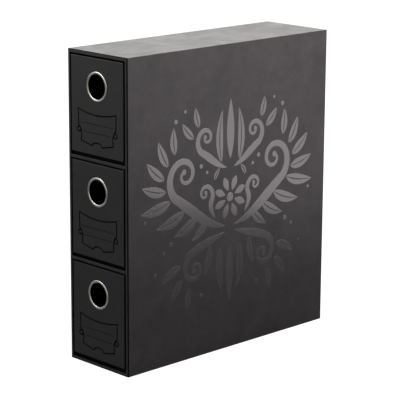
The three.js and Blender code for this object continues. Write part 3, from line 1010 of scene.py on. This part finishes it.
floorSet = {
    "half": 30.0,
    "colour": (0.22, 0.22, 0.218),
    "roughness": 0.9,
    "cameraGlow": 0.98,
    "glossGlow": 0.04,
}
worldSet = {"diffuse": 0.28, "seen": 1.0}
lampSet = {
    "sideBox": {
        "place": (0.335, 0.17, 0.31), "aim": (0.045, -0.12, 0.31), "size": (0.66, 0.48),
        "power": 0.62, "spread": 100, "roll": -6, "colour": (1.0, 0.915, 0.94),
    },
    "farBox": {
        "place": (0.80, 0.58, 0.44), "aim": (0.04, 0.05, 0.1), "size": (0.5, 0.4),
        "power": 4.3, "spread": 180, "roll": 0, "colour": (1.0, 0.93, 0.95),
    },
    "backBox": {
        "place": (-1.00, 1.38, 0.95), "aim": (0, 0, 0.2), "size": (1.6, 1.0),
        "power": 10.8, "spread": 180, "roll": 0, "colour": (1.0, 0.98, 0.955),
    },
    "frontBox": {
        "place": (-0.17, -0.40, 0.58), "aim": (0, -0.13, 0.29), "size": (0.46, 0.30),
        "power": 0.76, "spread": 90, "roll": 0, "colour": (1.0, 1.0, 1.0),
    },
}
cameraSet = {
    "target": (0, 0.000475, 0.1503),
    "azimuth": 45.818,
    "elevation": 13.757,
    "roll": 0.324,
    "distance": 1.71383,
    "right": -0.001205,
    "up": -0.008481,
    "lens": 156.947,
    "sensor": 36,
    "farEnd": 100,
}


# A wide floor that the camera sees white, that shiny things see faintly, and that takes shadows
def makeFloor():
    half = floorSet["half"]
    mesh = bpy.data.meshes.new("floor")
    corners = [(-half, -half, 0), (half, -half, 0), (half, half, 0), (-half, half, 0)]
    mesh.from_pydata(corners, [], [(0, 1, 2, 3)])
    finish = Finish("pale_floor")
    finish.put("Base Color", (*floorSet["colour"], 1))
    finish.put("Roughness", floorSet["roughness"])
    rays = finish.nodes.new("ShaderNodeLightPath")
    seen = finish.calc("MULTIPLY", rays.outputs["Is Camera Ray"], floorSet["cameraGlow"])
    mirrored = finish.calc("MAXIMUM", rays.outputs["Is Glossy Ray"], rays.outputs["Is Transmission Ray"])
    glow = finish.calc("ADD", seen, finish.calc("MULTIPLY", mirrored, floorSet["glossGlow"]))
    finish.put("Emission Color", (1, 1, 1, 1))
    finish.put("Emission Strength", glow)
    mesh.materials.append(finish.material)
    floor = bpy.data.objects.new("floor", mesh)
    bpy.context.scene.collection.objects.link(floor)


# A white world for the camera and for reflections, and a dimmer one for the plain light
def makeWorld():
    world = bpy.data.worlds.new("studio")
    bpy.context.scene.world = world
    world.use_nodes = True
    nodes, links = world.node_tree.nodes, world.node_tree.links
    background = nodes["Background"]
    background.inputs["Color"].default_value = (1, 1, 1, 1)
    rays = nodes.new("ShaderNodeLightPath")
    seen = rays.outputs["Is Camera Ray"]
    for name in ("Is Glossy Ray", "Is Transmission Ray"):
        either = nodes.new("ShaderNodeMath")
        either.operation = "MAXIMUM"
        links.new(seen, either.inputs[0])
        links.new(rays.outputs[name], either.inputs[1])
        seen = either.outputs["Value"]
    level = nodes.new("ShaderNodeMapRange")
    level.inputs["To Min"].default_value = worldSet["diffuse"]
    level.inputs["To Max"].default_value = worldSet["seen"]
    links.new(seen, level.inputs["Value"])
    links.new(level.outputs["Result"], background.inputs["Strength"])


# Two directions at right angles, both turned by the same degrees
def rolled(right, rise, degrees):
    cosine, sine = math.cos(math.radians(degrees)), math.sin(math.radians(degrees))
    return cosine * right + sine * rise, cosine * rise - sine * right


# A matrix at a place that looks along minus its third column
def lookMatrix(place, right, up, back):
    matrix = Matrix.Identity(4)
    for column, vector in enumerate((right, up, back, place)):
        for row in range(3):
            matrix[row][column] = float(vector[row])
    return matrix


# A rectangular lamp at its place, turned to its aim and rolled about that line
def makeLamp(name, values):
    lamp = bpy.data.lights.new(name, "AREA")
    lamp.shape = "RECTANGLE"
    lamp.size, lamp.size_y = values["size"]
    lamp.energy = values["power"]
    lamp.spread = math.radians(values["spread"])
    lamp.color = values["colour"]
    holder = bpy.data.objects.new(name, lamp)
    bpy.context.scene.collection.objects.link(holder)
    place, aim = np.array(values["place"], float), np.array(values["aim"], float)
    back = (place - aim) / np.linalg.norm(place - aim)
    right = np.cross((0, 0, 1), back)
    right /= np.linalg.norm(right)
    rise = np.cross(back, right)
    holder.matrix_world = lookMatrix(place, *rolled(right, rise, values["roll"]), back)
    holder.visible_camera = False


# The camera stands at its distance from the target, rolled, and moved a little along its right and up
def makeCamera():
    values = cameraSet
    turn, lift = math.radians(values["azimuth"]), math.radians(values["elevation"])
    back = np.array([math.sin(turn) * math.cos(lift), -math.cos(turn) * math.cos(lift), math.sin(lift)])
    level = np.array([math.cos(turn), math.sin(turn), 0])
    right, up = rolled(level, np.cross(back, level), values["roll"])
    place = np.array(values["target"]) + back * values["distance"]
    place = place + right * values["right"] + up * values["up"]
    camera = bpy.data.cameras.new("camera")
    camera.sensor_fit = "HORIZONTAL"
    camera.sensor_width = values["sensor"]
    camera.lens = values["lens"]
    camera.clip_end = values["farEnd"]
    holder = bpy.data.objects.new("camera", camera)
    holder.matrix_world = lookMatrix(place, right, up, back)
    bpy.context.scene.collection.objects.link(holder)
    bpy.context.scene.camera = holder


makeFloor()
makeWorld()
for lampName, lampValues in lampSet.items():
    makeLamp(lampName, lampValues)
makeCamera()
bpy.context.scene.view_settings.view_transform = "Standard"
print("floor, light and camera made")
